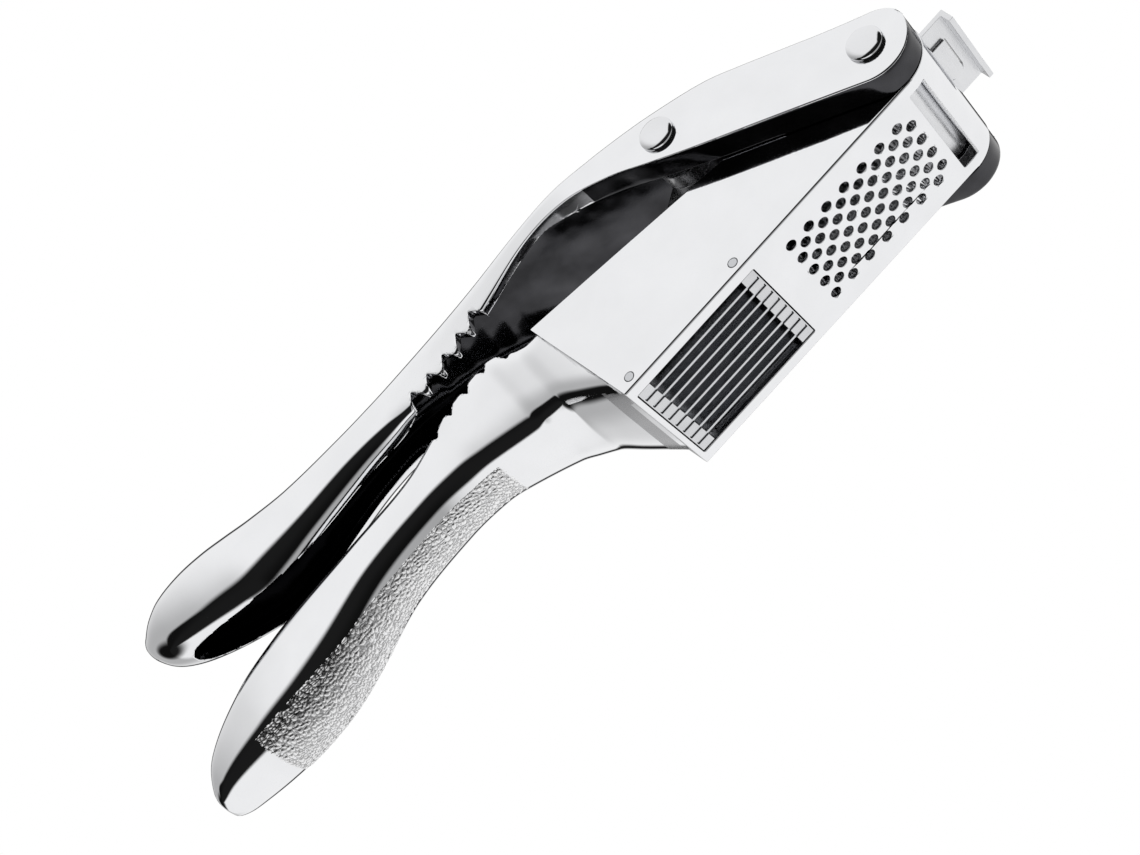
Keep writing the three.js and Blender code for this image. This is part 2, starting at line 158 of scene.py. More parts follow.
# ------------------------------------------------------------------ section reading
class Table:
    """Columns of a section table read as smooth curves of x."""

    def __init__(self, rows):
        self.rows = np.array(rows, float)

    def read(self, x, column):
        t = self.rows
        last = len(t) - 1
        i = 0
        while i < last - 1 and x > t[i + 1][0]:
            i += 1

        def slope(k):
            a, b = t[max(k - 1, 0)], t[min(k + 1, last)]
            return (b[column] - a[column]) / (b[0] - a[0])

        p, q = t[i], t[i + 1]
        h = q[0] - p[0]
        u = (x - p[0]) / h
        return ((2 * u**3 - 3 * u**2 + 1) * p[column] + (u**3 - 2 * u**2 + u) * h * slope(i)
                + (3 * u**2 - 2 * u**3) * q[column] + (u**3 - u**2) * h * slope(i + 1))

    def all(self, x):
        return [float(self.read(x, c)) for c in range(1, self.rows.shape[1])]


lower, upper = Table(LOWER), Table(UPPER)
lower_slot, upper_slot, grip = Table(LOWER_SLOT), Table(UPPER_SLOT), Table(GRIP)


def oval_point(x, a, w, bottom, middle, top, n_top, n_bottom):
    """A point of an oval section whose upper and lower halves differ."""
    c, s = math.cos(a), math.sin(a)
    n = n_top if s >= 0 else n_bottom
    reach = top - middle if s >= 0 else middle - bottom
    return (x, w * math.copysign(abs(c) ** (2 / n), c),
            middle + reach * math.copysign(abs(s) ** (2 / n), s))


def oval(x, sizes, count):
    return [oval_point(x, 2 * math.pi * k / count, *sizes) for k in range(count)]


def inset(sizes, depth):
    w, bottom, middle, top, n_top, n_bottom = sizes
    return (max(w - depth, 0.3), min(bottom + depth, middle - 0.3), middle,
            max(top - depth, middle + 0.3), n_top, n_bottom)


def steps(start, end, count):
    return [start + (end - start) * i / count for i in range(count + 1)]


def eased_tip(start, end, count):
    """Stations that crowd towards start, where a section closes into a rounded tip."""
    return [start + (end - start) * (i / count) ** 2 for i in range(count)]


# ------------------------------------------------------------------ mesh building
ON_AXIS = 1e-6
WELD = 0.004
BEVEL_ANGLE = math.radians(35)


def new_object(name, bm):
    bmesh.ops.recalc_face_normals(bm, faces=bm.faces)
    mesh = bpy.data.meshes.new(name)
    bm.to_mesh(mesh)
    bm.free()
    piece = bpy.data.objects.new(name, mesh)
    bpy.context.scene.collection.objects.link(piece)
    return piece


def loft(name, rings):
    bm = bmesh.new()
    rows = [[bm.verts.new(p) for p in ring] for ring in rings]
    n = len(rings[0])
    for a, b in zip(rows[:-1], rows[1:]):
        for k in range(n):
            bm.faces.new((a[k], a[(k + 1) % n], b[(k + 1) % n], b[k]))
    bm.faces.new(rows[0])
    bm.faces.new(rows[-1])
    return new_object(name, bm)


def plate(name, points, y0, y1):
    """A side view (x, z) given thickness from y0 to y1."""
    return loft(name, [[(x, y, z) for x, z in points] for y in (y0, y1)])


def block(name, x0, x1, y0, y1, z0, z1):
    return plate(name, [(x0, z0), (x1, z0), (x1, z1), (x0, z1)], y0, y1)


def arc(cx, cz, r, start, end, count):
    return [(cx + r * math.cos(a), cz + r * math.sin(a)) for a in steps(start, end, count)]


def rod(name, x, z, r, y0, y1, count=64):
    """A round bar along Y."""
    return plate(name, arc(x, z, r, 0, 2 * math.pi, count)[:-1], y0, y1)


def post(name, x, y, r, z0, z1, count=24):
    """A round bar along Z."""
    circle = arc(x, y, r, 0, 2 * math.pi, count)[:-1]
    return loft(name, [[(px, py, z) for px, py in circle] for z in (z0, z1)])


def turned(name, profile):
    """A profile of (radius, y) pairs turned about the Y axis."""
    count = 96
    bm = bmesh.new()
    rows = []
    for r, y in profile:
        if r < ON_AXIS:
            rows.append([bm.verts.new((0, y, 0))])
        else:
            rows.append([bm.verts.new((r * math.cos(a), y, r * math.sin(a)))
                         for a in steps(0, 2 * math.pi, count)[:-1]])
    for a, b in zip(rows[:-1], rows[1:]):
        for k in range(count):
            corner = [a[k % len(a)], a[(k + 1) % len(a)], b[(k + 1) % len(b)], b[k % len(b)]]
            unique = list(dict.fromkeys(corner))
            if len(unique) > 2:
                bm.faces.new(unique)
    return new_object(name, bm)


def joined(name, pieces):
    """Several closed shapes as one mesh, for use as a single cutter or addition."""
    bm = bmesh.new()
    for piece in pieces:
        bm.from_mesh(piece.data)
        bpy.data.objects.remove(piece)
    return new_object(name, bm)


def combine(piece, tool, operation):
    modifier = piece.modifiers.new("combine", "BOOLEAN")
    modifier.operation = operation
    modifier.solver = "MANIFOLD"
    modifier.object = tool
    bpy.context.view_layer.objects.active = piece
    bpy.ops.object.modifier_apply(modifier=modifier.name)
    bpy.data.objects.remove(tool)


def cut(piece, *tools):
    for tool in tools:
        combine(piece, tool, "DIFFERENCE")


def add(piece, *tools):
    for tool in tools:
        combine(piece, tool, "UNION")
    return piece


def bevel(piece, width):
    """Rounds every edge sharper than BEVEL_ANGLE."""
    modifier = piece.modifiers.new("bevel", "BEVEL")
    modifier.width = width
    modifier.segments = 2
    modifier.limit_method = "ANGLE"
    modifier.angle_limit = BEVEL_ANGLE
    modifier.use_clamp_overlap = False
    modifier.miter_outer = "MITER_ARC"
    bpy.context.view_layer.objects.active = piece
    bpy.ops.object.modifier_apply(modifier=modifier.name)


def round_edges(piece, width, test):
    """Rounds the edges whose middle passes test."""
    bm = bmesh.new()
    bm.from_mesh(piece.data)
    chosen = []
    for edge in bm.edges:
        middle = (edge.verts[0].co + edge.verts[1].co) / 2
        if test(*middle):
            chosen.append(edge)
    bmesh.ops.bevel(bm, geom=chosen, offset=width, segments=3, profile=0.5, affect="EDGES")
    bm.to_mesh(piece.data)
    bm.free()


def finish_piece(piece, body, materials, nodes=(), sharp=32):
    """Smooth shading apart from edges sharper than sharp degrees, the move into the row frame,
    and the piece's materials, body and replaced nodes."""
    bm = bmesh.new()
    bm.from_mesh(piece.data)
    bmesh.ops.remove_doubles(bm, verts=bm.verts, dist=WELD)
    bmesh.ops.dissolve_degenerate(bm, edges=bm.edges, dist=WELD)
    bmesh.ops.triangulate(bm, faces=[face for face in bm.faces if len(face.verts) > 4])
    limit = math.radians(sharp)
    for face in bm.faces:
        face.smooth = True
    for edge in bm.edges:
        edge.smooth = edge.is_manifold and edge.calc_face_angle(0) < limit
    bm.to_mesh(piece.data)
    bm.free()
    modifier = piece.modifiers.new("even", "WEIGHTED_NORMAL")
    modifier.keep_sharp = True
    bpy.context.view_layer.objects.active = piece
    bpy.ops.object.modifier_apply(modifier=modifier.name)
    piece.data.transform(Matrix.Translation((-ORIGIN_X * MM, 0, 0)) @ Matrix.Scale(MM, 4))
    piece.data.materials.clear()
    for material in materials:
        piece.data.materials.append(material)
    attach(piece, body)
    if nodes:
        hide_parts(*nodes)


# ------------------------------------------------------------------ materials
class Nodes:
    """Short calls for wiring a material or world."""

    def __init__(self, tree):
        self.tree = tree

    def add(self, kind, **inputs):
        node = self.tree.nodes.new(kind)
        for name, value in inputs.items():
            socket = node.inputs[name.replace("_", " ")]
            if isinstance(value, bpy.types.NodeSocket):
                self.tree.links.new(value, socket)
            else:
                socket.default_value = value
        return node

    def math(self, operation, a, b):
        node = self.tree.nodes.new("ShaderNodeMath")
        node.operation = operation
        for socket, value in zip(node.inputs, (a, b)):
            if isinstance(value, bpy.types.NodeSocket):
                self.tree.links.new(value, socket)
            else:
                socket.default_value = value
        return node.outputs[0]

    def remap(self, value, low, high, to_low, to_high, kind="SMOOTHSTEP"):
        node = self.tree.nodes.new("ShaderNodeMapRange")
        node.interpolation_type = kind
        self.tree.links.new(value, node.inputs[0])
        for socket, number in zip(node.inputs[1:5], (low, high, to_low, to_high)):
            socket.default_value = number
        return node.outputs[0]


CLOUD_SCALE = 90.0
WAVE_SCALE = 130.0
WAVE_HEIGHT = 0.0004
GRAIN_HEIGHT = 0.00003
LEAST_ROUGHNESS = 0.01
NOISE_LOW, NOISE_HIGH = 0.3, 0.7          # the range that noise mostly keeps to


def metal(name, tone, spread, rough, rough_spread, waviness, grain, grain_scale=3000,
          stretch=(1, 1, 1)):
    """Metal whose tone, roughness and surface vary a little: tone and rough are the middle
    values, waviness is the cast surface's slow unevenness and grain the fine finish, which
    runs in lines where stretch is uneven."""
    material = bpy.data.materials.new(name)
    material.use_nodes = True
    tree = material.node_tree
    tree.nodes.clear()
    n = Nodes(tree)
    output = tree.nodes.new("ShaderNodeOutputMaterial")
    shader = tree.nodes.new("ShaderNodeBsdfPrincipled")
    shader.inputs["Metallic"].default_value = 1.0
    tree.links.new(shader.outputs[0], output.inputs[0])
    where = tree.nodes.new("ShaderNodeTexCoord").outputs["Object"]
    stretched = n.add("ShaderNodeMapping", Vector=where, Scale=stretch).outputs[0]
    cloud = n.add("ShaderNodeTexNoise", Vector=where, Scale=CLOUD_SCALE, Detail=3.0).outputs[0]
    fine = n.add("ShaderNodeTexNoise", Vector=stretched, Scale=grain_scale, Detail=4.0).outputs[0]
    ramp = tree.nodes.new("ShaderNodeValToRGB")
    darker = [v * (1 - spread) for v in tone]
    lighter = [min(1, v * (1 + spread)) for v in tone]
    low_end, high_end = ramp.color_ramp.elements
    low_end.position, low_end.color = NOISE_LOW, (*darker, 1)
    high_end.position, high_end.color = NOISE_HIGH, (*lighter, 1)
    tree.links.new(cloud, ramp.inputs[0])
    tree.links.new(ramp.outputs[0], shader.inputs["Base Color"])
    mixed = n.math("MULTIPLY", n.math("ADD", cloud, fine), 0.5)
    smoothest = max(LEAST_ROUGHNESS, rough - rough_spread)
    roughness = n.remap(mixed, NOISE_LOW, NOISE_HIGH, smoothest, rough + rough_spread)
    tree.links.new(roughness, shader.inputs["Roughness"])
    slow = n.add("ShaderNodeTexNoise", Vector=where, Scale=WAVE_SCALE, Detail=1.0).outputs[0]
    first = n.add("ShaderNodeBump", Height=slow, Distance=WAVE_HEIGHT, Strength=waviness).outputs[0]
    second = n.add("ShaderNodeBump", Height=fine, Distance=GRAIN_HEIGHT, Strength=grain,
                   Normal=first).outputs[0]
    tree.links.new(second, shader.inputs["Normal"])
    return material


def shade_between_pebbles(material):
    """Darkens the valleys of the grip, read from the relief stored on its mesh."""
    tree = material.node_tree
    n = Nodes(tree)
    shader = tree.nodes["Principled BSDF"]
    tone = shader.inputs["Base Color"].links[0].from_socket
    height = tree.nodes.new("ShaderNodeAttribute")
    height.attribute_name = "relief"
    valley = n.remap(height.outputs["Fac"], 0.05, 0.6, 0.25, 1.0)
    scaled = tree.nodes.new("ShaderNodeVectorMath")
    scaled.operation = "SCALE"
    tree.links.new(tone, scaled.inputs[0])
    tree.links.new(valley, scaled.inputs["Scale"])
    tree.links.new(scaled.outputs[0], shader.inputs["Base Color"])


chrome = metal("polished chrome", (0.86, 0.865, 0.88), 0.02, 0.045, 0.02, 0.02, 0.05)
# Near-black chrome, painted on as shade in the hollows and on the cheeks' inner faces, and as a dark
# reflection on the cheeks' lower edges.
shade_and_reflection_chrome = metal("painted shade and reflection", (0.05, 0.05, 0.054), 0.4, 0.14, 0.06, 0.6, 0.2)
satin = metal("satin pebble grip", (0.92, 0.92, 0.925), 0.04, 0.34, 0.06, 0.0, 0.6, 5000)
shade_between_pebbles(satin)
cast = metal("satin cast pusher", (0.48, 0.48, 0.49), 0.10, 0.26, 0.08, 0.2, 0.4)
steel = metal("blade steel", (0.62, 0.63, 0.65), 0.06, 0.18, 0.07, 0.0, 0.5, 4000, (0.05, 1, 1))
sheet_steel = metal("sheet steel", (0.78, 0.785, 0.80), 0.05, 0.30, 0.06, 0.0, 0.4, 4000,
                    (1, 0.05, 1))
comb_steel = metal("comb steel", (0.66, 0.665, 0.68), 0.08, 0.16, 0.06, 0.05, 0.3)
pin_chrome = metal("pin chrome", (0.80, 0.805, 0.82), 0.03, 0.07, 0.03, 0.0, 0.2)


# The second place holds the near-black chrome painted as shade and dark reflection; the third holds
# the darker satin metal painted as shade inside the chamber.
SHADE_AND_REFLECTION, CHAMBER_SHADE = 1, 2       # places in the castings' lists of materials, after the bright chrome


def recolour(piece, index, test):
    """Gives material number index to the faces whose centre, in part millimetres, and normal
    pass test."""
    for face in piece.data.polygons:
        c = face.center
        if test(c.x / MM + ORIGIN_X, c.y / MM, c.z / MM, face.normal):
            face.material_index = index


def inside(table, x, y, z, depth):
    """True if a point lies deeper than depth under the outer skin of a handle."""
    w, bottom, middle, top, n_top, n_bottom = inset(table.all(x), depth)
    n = n_top if z >= middle else n_bottom
    reach = top - middle if z >= middle else middle - bottom
    return abs(y / w) ** n + abs((z - middle) / reach) ** n < 1


# ------------------------------------------------------------------ lower casting
# Mincing holes in staggered rows, four and five to a row, counted back from the hinge end.
HOLES = []
for row in range(HOLE_ROWS):
    count = 5 if row % 2 else 4
    first = -HOLE_PITCH * (count - 1) / 2
    HOLES += [(77.6 - HOLE_ROW_PITCH * row, first + HOLE_PITCH * k) for k in range(count)]
BLADE_Y = [(k - (BLADE_COUNT - 1) / 2) * BLADE_PITCH for k in range(BLADE_COUNT)]


def saw_cut(first, pitch, count, edge, depth, far):
    """V cuts into an edge that runs at height edge(x), from a cutter that reaches the level far.
    What is left between the cuts is a row of nutcracker teeth."""
    way = math.copysign(1, far - edge(first))
    mouth, skim = 0.44, 0.2       # half the width of a V over the pitch, and the cut off each crest
    points = [(first - pitch / 2, far)]
    for k in range(count):
        x = first + k * pitch
        points.append((x - pitch * mouth, edge(x - pitch / 2) - way * skim))
        points.append((x, edge(x) - way * depth))
        points.append((x + pitch * mouth, edge(x + pitch / 2) - way * skim))
    points.append((first + (count - 0.5) * pitch, far))
    return plate("saw", points, -PAST_BOX, PAST_BOX)


def slot_cutter(table, start, end, count, z0, top):
    """A block of varying half width and upper end, used to open a hollow from one side."""
    rings = []
    for x in steps(start, end, count):
        w = table.read(x, 1)
        rings.append([(x, -w, z0), (x, w, z0), (x, w, top(x)), (x, -w, top(x))])
    return loft("slot", rings)


def rod_bores(y0, y1):
    return joined("bores", [rod("bore", x, ROD_Z, ROD_R + RUNNING, y0, y1, 40) for x in ROD_X])


def pin_bore(at, shank_r, half):
    return rod("bore", *at, shank_r + RUNNING, -half, half)


ABOVE = 60                                  # a level over everything in the lower casting
HOLLOW_END = -42                            # the lower handle is hollow up to here
body_xs = eased_tip(-127.5, -120, 16) + steps(-120, -24, 96) + steps(-23.4, 0, 39)
body = loft("press_body_shell", [oval(x, lower.all(x), 128) for x in body_xs])
side = [(-0.8, 0), (HINGE[0], 0)]
side += arc(*HINGE, EAR_R, -math.pi / 2, EAR_END, 48)[1:] + [(-5.2, 33.2)]
box = plate("box", side, -BOX_HALF, BOX_HALF)
round_edges(box, BOX_EDGE, lambda x, y, z: z < 0.01 and abs(y) > BOX_HALF - 0.01)
add(body, box)
# The chamber runs out under the hinge, round the lip, and up past the knuckle of the tab.
lip = arc(*HINGE, LIP_R, -1.118, 0.06, 24)
chamber = [(3.4, FLOOR), (80.9, FLOOR), (80.9, -1), (85.4, -1)] + lip
chamber += [(100, HINGE[1] + 0.38), (100, ABOVE), (-5.5, ABOVE), (-1.2, 33)]
cut(body, plate("chamber", chamber, -CHAMBER_HALF, CHAMBER_HALF))
cut(body, saw_cut(-36.8, 5.85, 5, lambda x: lower.read(x, 4), 5.2, ABOVE))
hollow_xs = steps(-121.5, HOLLOW_END, 80)
cut(body, loft("hollow", [oval(x, inset(lower.all(x), BODY_SKIN), 96) for x in hollow_xs]))
cut(body, slot_cutter(lower_slot, -116.9, HOLLOW_END, 75, 30, lambda x: ABOVE))
cut(body, block("window", *WINDOW[:2], -CHAMBER_HALF, CHAMBER_HALF, -1, WINDOW[2]))
cut(body, joined("holes", [post("hole", x, y, HOLE_R, -1, 4) for x, y in HOLES]))
cut(body, rod_bores(-PAST_BOX, PAST_BOX))
cut(body, pin_bore(HINGE, HINGE_PIN_R, PAST_BOX))
bevel(body, CASTING_BEVEL)
finish_piece(body, "base", [chrome, shade_and_reflection_chrome, cast], ["press_body"])
# Painted shade: the inside of the hollow lower handle takes the near-black chrome.
recolour(body, SHADE_AND_REFLECTION, lambda x, y, z, n: x < HOLLOW_END + 0.5 and inside(lower, x, y, z, 0.9))
# Painted shade: the faces inside the chamber take the darker satin metal of the pusher.
recolour(body, CHAMBER_SHADE, lambda x, y, z, n: -4 < x < 80 and abs(y) < CHAMBER_HALF + 0.1
         and z > FLOOR - 0.05)

# ------------------------------------------------------------------ pebbled grip
GRIP_ROWS, GRIP_COLUMNS = 330, 120
GRIP_START, GRIP_END = -110, -31
LOWEST = 270                      # angle of the lowest line, about which the grip is symmetrical
PEBBLE_PITCH = 1.05
PEBBLE_RISE = 0.28
PEBBLE_FLANK = 2.6                # how steeply a pebble rises from its valley
VALLEY = 0.02                     # level of the valleys over the casting
SUNK = 0.06                       # how far the rim of the grip dips into the casting
FADE_ROWS, FADE_COLUMNS = 4, 3    # the pebbles grow to full height over these
bm = bmesh.new()
relief = bm.verts.layers.float.new("relief")
grid = []
for i in range(GRIP_ROWS + 1):
    x = GRIP_START + (GRIP_END - GRIP_START) * i / GRIP_ROWS
    sizes = lower.all(x)
    edge = grip.read(x, 1)
    line = []
    for j in range(GRIP_COLUMNS + 1):
        a = math.radians(edge + 2 * (LOWEST - edge) * j / GRIP_COLUMNS)
        from_end = min(i, GRIP_ROWS - i) / FADE_ROWS
        from_side = min(j, GRIP_COLUMNS - j) / FADE_COLUMNS
        fade = min(1.0, from_end, from_side)
        here = Vector(oval_point(x, a, *sizes))
        out = Vector((0, here.y, here.z - sizes[2])).normalized()
        cell = noise.voronoi(here / PEBBLE_PITCH, distance_metric="DISTANCE")[0]
        pebble = min(1.0, (cell[1] - cell[0]) * PEBBLE_FLANK)
        lift = fade * (VALLEY + PEBBLE_RISE * pebble) - SUNK
        line.append(bm.verts.new(here + out * lift))
        line[-1][relief] = pebble
    grid.append(line)
for a, b in zip(grid[:-1], grid[1:]):
    for j in range(GRIP_COLUMNS):
        bm.faces.new((a[j], a[j + 1], b[j + 1], b[j]))
pebbles = new_object("grip_pebbles", bm)
finish_piece(pebbles, "base", [satin], sharp=180)

# ------------------------------------------------------------------ lever
TOUCH_TOP = HINGE[0] + CHEEK_R * math.sin(BAND_SLOPE)
TOUCH_BOTTOM = HINGE[0] - CHEEK_R * math.sin(BAND_SLOPE)


def band(x, sign, touch):
    """Upper (sign 1) or lower (sign -1) edge of the cheeks towards the hinge."""
    if x >= touch:
        return HINGE[1] + sign * math.sqrt(max(CHEEK_R**2 - (x - HINGE[0]) ** 2, 0))
    return HINGE[1] + sign * CHEEK_R / math.cos(BAND_SLOPE) - (x - HINGE[0]) * math.tan(BAND_SLOPE)


def lever_ring(x, count):
    if x <= CHEEK_START:
        return oval(x, upper.all(x), count)
    low, high = band(x, -1, TOUCH_BOTTOM), band(x, 1, TOUCH_TOP)
    return oval(x, (CHEEK_OUT, low, low + (high - low) * 0.4, high, 10, 30), count)


def hollow_ring(x, count):
    """The hollow follows the outer skin in the handle and has a flat roof over the box."""
    w, bottom, middle, top, n_top, n_bottom = upper.all(x)
    if x < -30:
        return oval(x, inset(upper.all(x), LEVER_SKIN), count)
    crown = top - 3
    level = min(middle, crown - 4)
    half = min(CHEEK_IN, w - LEVER_SKIN)
    return oval(x, (half, level - 4, level, crown, n_top * 1.6, 8), count)


BELOW = -20                                 # a level under everything in the lever
CHEEK_GAP_START = 58                        # from here on nothing joins the two cheeks
LEVER_HOLLOW_END = 60
ROUND_END = CHEEK_R * 0.999
lever_xs = eased_tip(-124.5, -117.5, 18) + steps(-117.5, CHEEK_START, 184)
lever_xs += [HINGE[0] + ROUND_END * math.sin(a) for a in steps(-1.2, math.pi / 2, 40)]
lever_xs = [x for i, x in enumerate(lever_xs) if i == 0 or x > lever_xs[i - 1]]
lever = loft("lever_shell", [lever_ring(x, 128) for x in lever_xs])
cut(lever, loft("hollow", [hollow_ring(x, 96) for x in steps(-119.5, LEVER_HOLLOW_END, 180)]))
for start, end, count in ((-115.2, -72, 44), (-72.01, 20, 92), (19.99, LEVER_HOLLOW_END, 6)):
    cut(lever, slot_cutter(upper_slot, start, end, count, -10, lambda x: upper.read(x, 3)))
cut(lever, saw_cut(-34.7, 5.55, 5, lambda x: upper.read(x, 2), 4, 30))
cut(lever, pin_bore(HINGE, HINGE_PIN_R, PAST_LEVER))
cut(lever, pin_bore(PIVOT, PIVOT_PIN_R, PAST_LEVER))
bevel(lever, CASTING_BEVEL)
cut(lever, block("gap", CHEEK_GAP_START, 100, -CHEEK_IN, CHEEK_IN, BELOW, 60))
cut(lever, block("throat", 20.5, LEVER_HOLLOW_END, -CHEEK_IN, CHEEK_IN, BELOW, 34))
finish_piece(lever, "lever", [chrome, shade_and_reflection_chrome], ["lever"])
# Painted shade: the hollow and the inner faces of the cheeks take the near-black chrome, and so do
# the cheeks' lower edges, as a painted dark reflection.
recolour(lever, SHADE_AND_REFLECTION, lambda x, y, z, n: x < CHEEK_GAP_START and abs(y) < CHEEK_IN + 0.1
         and inside(upper, x, y, z, 1.0))
recolour(lever, SHADE_AND_REFLECTION, lambda x, y, z, n: x > 18 and abs(y) < CHEEK_IN + 0.02 and abs(n.y) > 0.9)
recolour(lever, SHADE_AND_REFLECTION, lambda x, y, z, n: x > 24 and abs(n.y) < 0.45 and n.z < 0.1)

# ------------------------------------------------------------------ plunger
# Two plates at two levels, joined by a step: fingers under the slicing plate go between the
# blades, and studs under the mincing plate go into the holes. Two ribs carry the pivot boss.
rib = [(7, 9.6), (36, 9.6), (38, 7.6), (69.4, 7.6), (68.7, 10.6), (47.8, 36), (37.8, 36), (7, 13.4)]
FINGER_HALF = 0.93
STUD_R = 0.9
plunger = block("plunger_shape", 4.9, 36, -PUSHER_HALF, PUSHER_HALF, 8.4, 11.4)
add(plunger, block("step", 35.4, 38.2, -PUSHER_HALF, PUSHER_HALF, 5.4, 11.4))
add(plunger, block("mincer", 36, 70.2, -PUSHER_HALF, PUSHER_HALF, 5.4, 8.6))
add(plunger, plate("rib", rib, 8, 11), plate("rib", rib, -11, -8))
add(plunger, rod("boss", *PIVOT, 5.6, -15.0, 15.0))
finger_y = steps(-BLADE_PITCH * BLADE_COUNT / 2, BLADE_PITCH * BLADE_COUNT / 2, BLADE_COUNT)
add(plunger, joined("fingers", [
    block("finger", 5.8, 30.6, y - FINGER_HALF, y + FINGER_HALF, 4.9, 8.6) for y in finger_y]))
add(plunger, joined("studs", [
    post("stud", x, y, STUD_R, 4.2, 5.8, 16) for x, y in HOLES if x < 69]))
cut(plunger, pin_bore(PIVOT, PIVOT_PIN_R, PAST_BOX))
bevel(plunger, PUSHER_BEVEL)
finish_piece(plunger, "plunger", [cast], ["plunger"])


# ------------------------------------------------------------------ pins
def domed(shank_r, start):
    """Profile of a headed pin that starts at y = start, with a rounded rim and a low dome."""
    off_cheek, rim, tip = 0.08, 0.15, 0.2
    profile = [(0, start), (shank_r - tip, start), (shank_r, start + tip)]
    base, rise = CHEEK_OUT + off_cheek, HEAD_RISE - off_cheek
    profile += [(shank_r, base), (HEAD_R - rim, base), (HEAD_R, base + rim)]
    for a in steps(0, math.pi / 2, 20):
        r = HEAD_R * math.cos(a) ** 0.6 if a < 1.57 else 0
        profile.append((r, base + rise * (0.3 + 0.7 * math.sin(a))))
    return profile


pins = (("hinge_pin", "base", HINGE, HINGE_PIN_R), ("plunger_pin", "lever", PIVOT, PIVOT_PIN_R))
for name, body_name, at, shank_r in pins:
    near = turned(name + "_turned", domed(shank_r, -CHEEK_OUT))
    near.data.transform(Matrix.Rotation(math.pi, 4, "X"))
    near.data.transform(Matrix.Translation((at[0], 0, at[1])))
    cut(near, rod("socket", *at, SOCKET_R, SOCKET_START, PAST_LEVER, 48))
    finish_piece(near, body_name, [pin_chrome], [name])
    far = turned(name + "_cap_turned", domed(SOCKET_R - RUNNING, SOCKET_START + 0.3))
    far.data.transform(Matrix.Translation((at[0], 0, at[1])))
    finish_piece(far, body_name, [pin_chrome], [name + "_cap"])

# ------------------------------------------------------------------ slicing blades
# A blade is its side outline crossed with its section, which is ground to an edge at the top.
outline = [(1.2, 0.6), (34.4, 0.6), (34.4, 4.3), (31.2, 4.3), (31.2, 5.7), (4.4, 5.7), (4.4, 4.3),
           (1.2, 4.3)]
BLADE_TOP = 5.8
GRIND_START = 4.7
EDGE_HALF = 0.06
for number, y in enumerate(BLADE_Y, 1):
    t = BLADE_T / 2
    ground = [(y - t, 0), (y + t, 0), (y + t, GRIND_START), (y + EDGE_HALF, BLADE_TOP),
              (y - EDGE_HALF, BLADE_TOP), (y - t, GRIND_START)]
    blade = plate(f"blade_{number}", outline, y - 1, y + 1)
    combine(blade, loft("edge", [[(x, a, b) for a, b in ground] for x in (-2, 38)]), "INTERSECT")
    cut(blade, rod_bores(y - 2, y + 2))
    finish_piece(blade, "base", [steel], [f"slicing_blade_{number}"], sharp=12)
bar_half = CHAMBER_HALF - 0.2
for name, x0, x1, cut0, cut1 in (("rear", 0.7, 4.1, 1.0, 5), ("front", 31.5, 34.9, 31, 34.6)):
    bar = block(f"comb_{name}", x0, x1, -bar_half, bar_half, 0.3, 5.1)
    cut(bar, joined("slots", [block("slot", cut0, cut1, y - BLADE_GAP / 2, y + BLADE_GAP / 2, -1, 4.5)
                              for y in BLADE_Y]))
    cut(bar, rod_bores(-PAST_BOX, PAST_BOX))
    bevel(bar, COMB_BEVEL)
    finish_piece(bar, "base", [comb_steel], [f"blade_bar_{name}"])
for name, x in zip(("rear", "front"), ROD_X):
    pin = rod(f"cross_rod_{name}", x, ROD_Z, ROD_R, -BOX_HALF, BOX_HALF, 48)
    bevel(pin, STEEL_BEVEL)
    finish_piece(pin, "base", [steel], [f"blade_rod_{name}"])

# ------------------------------------------------------------------ sheet tab on the hinge pin
TONGUE_HALF = 1.8
TONGUE_TIP = (94.4, 3.6)         # centre of the tongue's round end
TONGUE_PRESS = 0.5               # how far the tongue is pressed down, and the slit round it


def tongue(margin, root, z0, z1):
    """The tongue that is pressed out of the plate, grown by margin."""
    x, end = TONGUE_TIP
    half = TONGUE_HALF + margin
    shape = block("tongue", x - half, x + half, root, end, z0, z1)
    add(shape, post("tongue_end", x, end, half, z0, z1, 48))
    return shape


tab = rod("end_tab_sheet", *HINGE, KNUCKLE_R, -12.9, 12.9, 96)
add(tab, block("stem", HINGE[0] + 5.2, 91.6, -4.5, 4.5, TAB_TOP - SHEET, TAB_TOP))
add(tab, block("plate", 91.3, TAB_END, -TAB_HALF, TAB_HALF, TAB_TOP - SHEET, TAB_TOP))
add(tab, block("flange", TAB_END - SHEET, TAB_END, -TAB_HALF, TAB_HALF, TAB_TOP - 3.9, TAB_TOP))
cut(tab, tongue(TONGUE_PRESS, -5.1, TAB_TOP - 3, TAB_TOP + 1))
add(tab, tongue(0, -5.6, TAB_TOP - SHEET - 0.7, TAB_TOP - TONGUE_PRESS))
cut(tab, pin_bore(HINGE, HINGE_PIN_R, PAST_BOX))
bevel(tab, STEEL_BEVEL)
finish_piece(tab, "base", [sheet_steel], ["end_tab"])

# ------------------------------------------------------------------ camera
CAMERA_PLACE = (-0.0206, -0.3089, -0.2726)
RIGHT = Vector((0.670, 0.548, -0.501)).normalized()
BACK = RIGHT.cross(Vector((0.739, -0.421, 0.526))).normalized()
UP = BACK.cross(RIGHT).normalized()
camera_data = bpy.data.cameras.new("camera")
camera_data.lens = 62.95
camera_data.sensor_width = 36
camera = bpy.data.objects.new("camera", camera_data)
bpy.context.scene.collection.objects.link(camera)
camera.matrix_world = Matrix.Translation(CAMERA_PLACE) @ Matrix(
    (RIGHT, UP, BACK)).transposed().to_4x4()
bpy.context.scene.camera = camera

# ------------------------------------------------------------------ light
WHITE = (1, 1, 1, 1)
world = bpy.data.worlds.new("studio")
bpy.context.scene.world = world
world.use_nodes = True
world.node_tree.nodes.clear()
n = Nodes(world.node_tree)
direction = world.node_tree.nodes.new("ShaderNodeTexCoord").outputs["Generated"]


